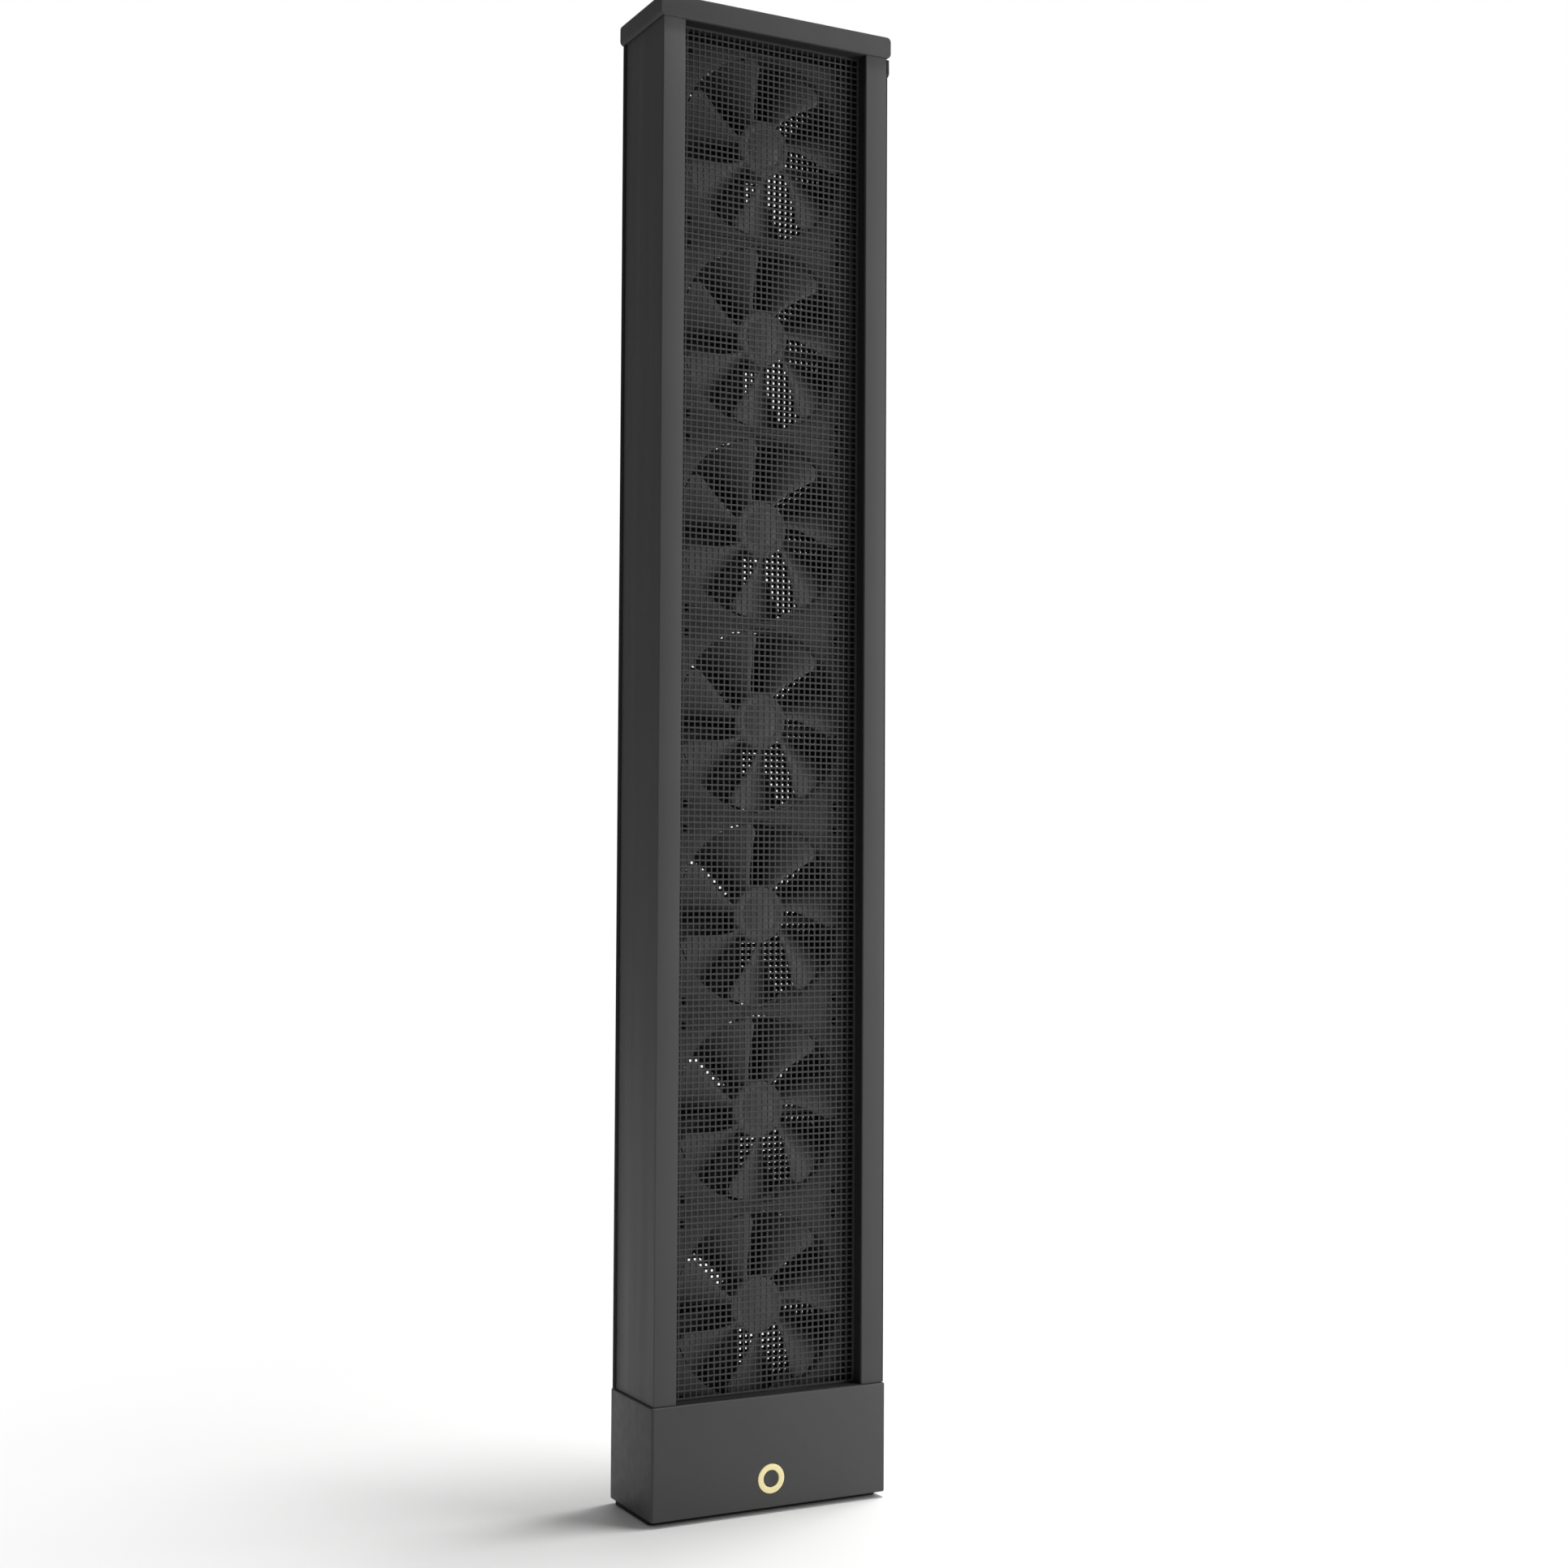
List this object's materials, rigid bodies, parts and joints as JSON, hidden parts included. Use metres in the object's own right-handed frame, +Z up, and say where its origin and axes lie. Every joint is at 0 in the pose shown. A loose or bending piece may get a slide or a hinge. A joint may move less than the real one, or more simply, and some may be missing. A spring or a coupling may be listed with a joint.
{
  "type": "window fan",
  "caption": "Tall slim tower fan for a sliding window: stacked axial fans behind square wire mesh in a dark aluminium case, with a control box and push button at the foot.",
  "frame": {"origin": "on the surface that the fan stands on, under the middle of its width and depth", "axes": "+Z up along the tower, +X to the right seen from the front, the front with the button faces -Y"},
  "size_m": [0.161, 0.0626, 0.92],
  "materials": {
    "painted_aluminium": "fine matt powder coat, dark charcoal grey",
    "wire_mesh": "fine square wire mesh, painted dark grey, satin",
    "box_plastic": "moulded, fine satin texture, charcoal grey",
    "plain_plastic": "moulded, matt, near black",
    "fan_plastic": "moulded, satin, near black",
    "seal_rubber": "matt, black",
    "foam": "soft closed-cell foam, black",
    "ring_gold": "flat ring, pale gold, satin",
    "circuit_board": "laminate with green solder mask",
    "screw_steel": "plain zinc-plated steel",
    "bearing_bronze": "sintered bronze",
    "coil_copper": "enamelled copper winding on a steel core",
    "wire_sheath": "smooth black wire sheath"
  },
  "bodies": {
    "case": {"left_stile": "painted_aluminium", "right_stile": "painted_aluminium", "top_rail": "painted_aluminium", "top_cap": "painted_aluminium", "cap_screw_left": "screw_steel", "cap_screw_right": "screw_steel", "stack_foam": "foam", "front_mesh": "wire_mesh", "rear_mesh": "wire_mesh", "left_seal": "seal_rubber", "right_seal": "seal_rubber", "seal_clip": "plain_plastic", "base_cover": "box_plastic", "base_plate": "plain_plastic", "base_pad": "seal_rubber", "base_screw_1": "screw_steel", "base_screw_2": "screw_steel", "base_screw_3": "screw_steel", "base_screw_4": "screw_steel", "button_ring": "ring_gold", "button_switch": "plain_plastic", "control_board": "circuit_board", "board_screw_1": "screw_steel", "board_screw_2": "screw_steel", "power_inlet": "plain_plastic", "wire_loom": "wire_sheath", "power_lead": "wire_sheath", "fan_frame_1": "fan_plastic", "stator_1": "coil_copper", "bearing_1": "bearing_bronze", "fan_frame_2": "fan_plastic", "stator_2": "coil_copper", "bearing_2": "bearing_bronze", "fan_frame_3": "fan_plastic", "stator_3": "coil_copper", "bearing_3": "bearing_bronze", "fan_frame_4": "fan_plastic", "stator_4": "coil_copper", "bearing_4": "bearing_bronze", "fan_frame_5": "fan_plastic", "stator_5": "coil_copper", "bearing_5": "bearing_bronze", "fan_frame_6": "fan_plastic", "stator_6": "coil_copper", "bearing_6": "bearing_bronze", "fan_frame_7": "fan_plastic", "stator_7": "coil_copper", "bearing_7": "bearing_bronze"},
    "button": {"button_cap": "box_plastic"},
    "impeller_1": {"impeller_1": "fan_plastic"},
    "impeller_2": {"impeller_2": "fan_plastic"},
    "impeller_3": {"impeller_3": "fan_plastic"},
    "impeller_4": {"impeller_4": "fan_plastic"},
    "impeller_5": {"impeller_5": "fan_plastic"},
    "impeller_6": {"impeller_6": "fan_plastic"},
    "impeller_7": {"impeller_7": "fan_plastic"}
  },
  "joints": [
    {"name": "fan_spin_1", "type": "hinge", "parent": "case", "child": "impeller_1", "pos_m": [0, 0, 0.1218], "axis": [0, 1, 0], "continuous": true},
    {"name": "fan_spin_2", "type": "hinge", "parent": "case", "child": "impeller_2", "pos_m": [0, 0, 0.2418], "axis": [0, 1, 0], "continuous": true},
    {"name": "fan_spin_3", "type": "hinge", "parent": "case", "child": "impeller_3", "pos_m": [0, 0, 0.3618], "axis": [0, 1, 0], "continuous": true},
    {"name": "fan_spin_4", "type": "hinge", "parent": "case", "child": "impeller_4", "pos_m": [0, 0, 0.4818], "axis": [0, 1, 0], "continuous": true},
    {"name": "fan_spin_5", "type": "hinge", "parent": "case", "child": "impeller_5", "pos_m": [0, 0, 0.6018], "axis": [0, 1, 0], "continuous": true},
    {"name": "fan_spin_6", "type": "hinge", "parent": "case", "child": "impeller_6", "pos_m": [0, 0, 0.7218], "axis": [0, 1, 0], "continuous": true},
    {"name": "fan_spin_7", "type": "hinge", "parent": "case", "child": "impeller_7", "pos_m": [0, 0, 0.8418], "axis": [0, 1, 0], "continuous": true},
    {"name": "power_button", "type": "slide", "parent": "case", "child": "button", "axis": [0, 1, 0], "range_m": [0, 0.0008], "stiffness_N_per_m": 1500, "springref_m": -0.0004}
  ]
}
